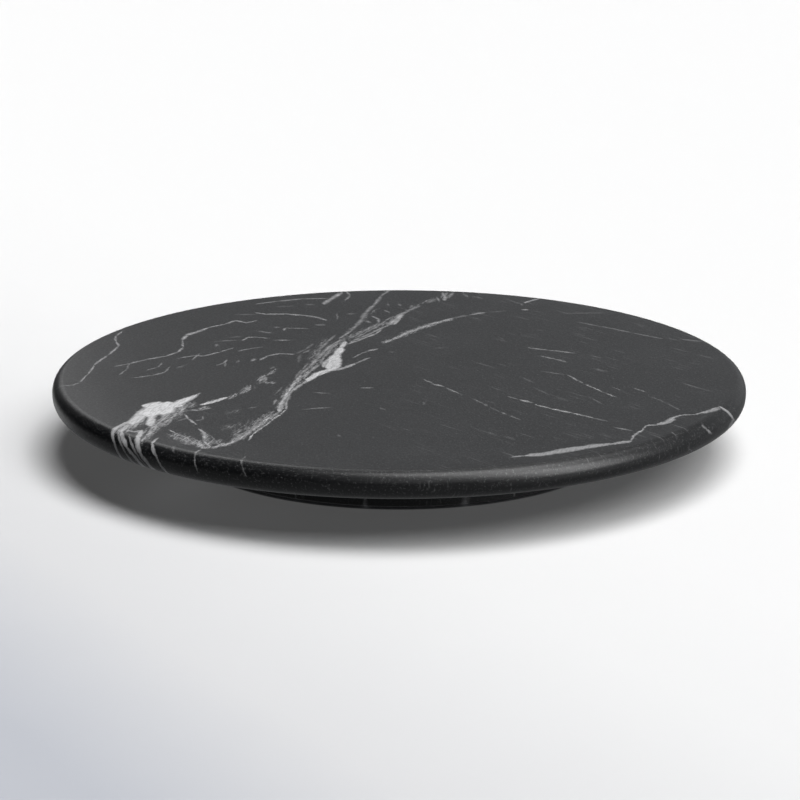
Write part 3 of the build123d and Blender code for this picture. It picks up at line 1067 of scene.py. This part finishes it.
def makeWorld(look):
    world = bpy.data.worlds.new("studio")
    bpy.context.scene.world = world
    world.use_nodes = True
    tree = world.node_tree
    towards = addNode(tree, "ShaderNodeTexCoord").outputs["Generated"]
    rise = addNode(tree, "ShaderNodeSeparateXYZ", None, Vector=towards).outputs["Z"]
    stops = []
    for height, glow in look["glow"]:
        stops.append(((height + 1) / 2, (*[glow * share for share in look["tint"]], 1)))
    glow = colourRamp(tree, ramp(tree, rise, -1, 1), stops)
    side = ramp(tree, dot(tree, towards, look["brightSide"]), *look["sideRange"], smooth=True)
    below = ramp(tree, rise, look["belowFrom"], look["belowTo"], 0.0, look["belowShare"])
    share = maths(tree, "MAXIMUM", side, below)
    background = tree.nodes["Background"]
    plug(tree, background.inputs["Color"], glow)
    plug(tree, background.inputs["Strength"], share)


studio = {
    "suns": {
        "overhead": {"towards": (8, -4, 36.75), "spread": 39, "strength": 2.59, "mirrored": 0.62},
        "frontRight": {"towards": (27, -24, 36.75), "spread": 30, "strength": 1.30, "mirrored": 0.6},
    },
    "sunDistance": 2,
    "panels": {
        "rightPanel": {"towards": (0.76, -0.56, 0.31), "width": 0.84, "height": 1.25, "radiance": 5.0},
        "rightHigh": {"towards": (0.56, 0.02, 0.83), "width": 1.10, "height": 0.66, "radiance": 1.15},
        "backLeft": {"towards": (-0.37, 0.82, 0.43), "width": 0.40, "height": 0.64, "radiance": 0.84},
        "backLeftHigh": {"towards": (-0.29, 0.65, 0.70), "width": 0.54, "height": 0.52, "radiance": 1.85},
        "backLow": {"towards": (-0.42, 0.88, -0.22), "width": 1.30, "height": 0.42, "radiance": 0.45},
        "front": {"towards": (0.12, -0.84, 0.52), "width": 1.00, "height": 1.40, "radiance": 0.6},
        "backHigh": {"towards": (0.06, 0.52, 0.85), "width": 1.00, "height": 0.90, "radiance": 0.85},
    },
    "panelDistance": 1.6,
    # how bright the room is at each height, from straight down (-1) to straight up (1), and on which side
    "world": {
        "tint": (0.96, 0.98, 1.0),
        "brightSide": (0.8, 0.6, 0),
        "sideRange": (-0.2, 0.9),
        "glow": [(-1, 0.34), (-0.3, 0.26), (-0.1, 0.24), (0.03, 0.37), (0.4, 0.35), (0.7, 0.03)],
        "belowFrom": -0.02,
        "belowTo": -0.3,
        "belowShare": 0.75,
    },
    "floor": {
        "halfSize": 8,
        "cells": 24,
        "roughness": 0.9,
        # glow is painted fill light from the floor itself; it is cut off inside the contact shadow radius,
        # painting a contact shadow under the base
        "glow": 0.061,
        "paintedShadeTowards": (-0.826, -0.565, 0),
        "paintedShadeFrom": -0.15,
        "paintedShadeTo": 1.1,
        "paintedShadeWander": 0.02,
        "wanderGrain": 0.12,
        "contactShadowRadius": 0.1285,
        "contactShadowEdge": 0.0012,
        # (share of the way towards the dim side, colour); the dim side is painted shade, light falling off
        # across the floor
        "fade": [(0, (0.81, 0.81, 0.81)), (0.121, (0.795, 0.795, 0.797)), (0.208, (0.755, 0.757, 0.76)),
                 (0.333, (0.625, 0.628, 0.640)), (0.416, (0.435, 0.452, 0.495)),
                 (0.56, (0.435, 0.452, 0.495)), (0.78, (0.68, 0.685, 0.70)), (1, (0.81, 0.81, 0.81))],
    },
}
makeFloor(studio["floor"])
for name, sun in studio["suns"].items():
    distantLight(name, studio["sunDistance"], **sun)
for name, panel in studio["panels"].items():
    panelLight(name, studio["panelDistance"], **panel)
makeWorld(studio["world"])
bpy.context.scene.view_settings.view_transform = "Standard"
print("floor and lights placed")

print("done")
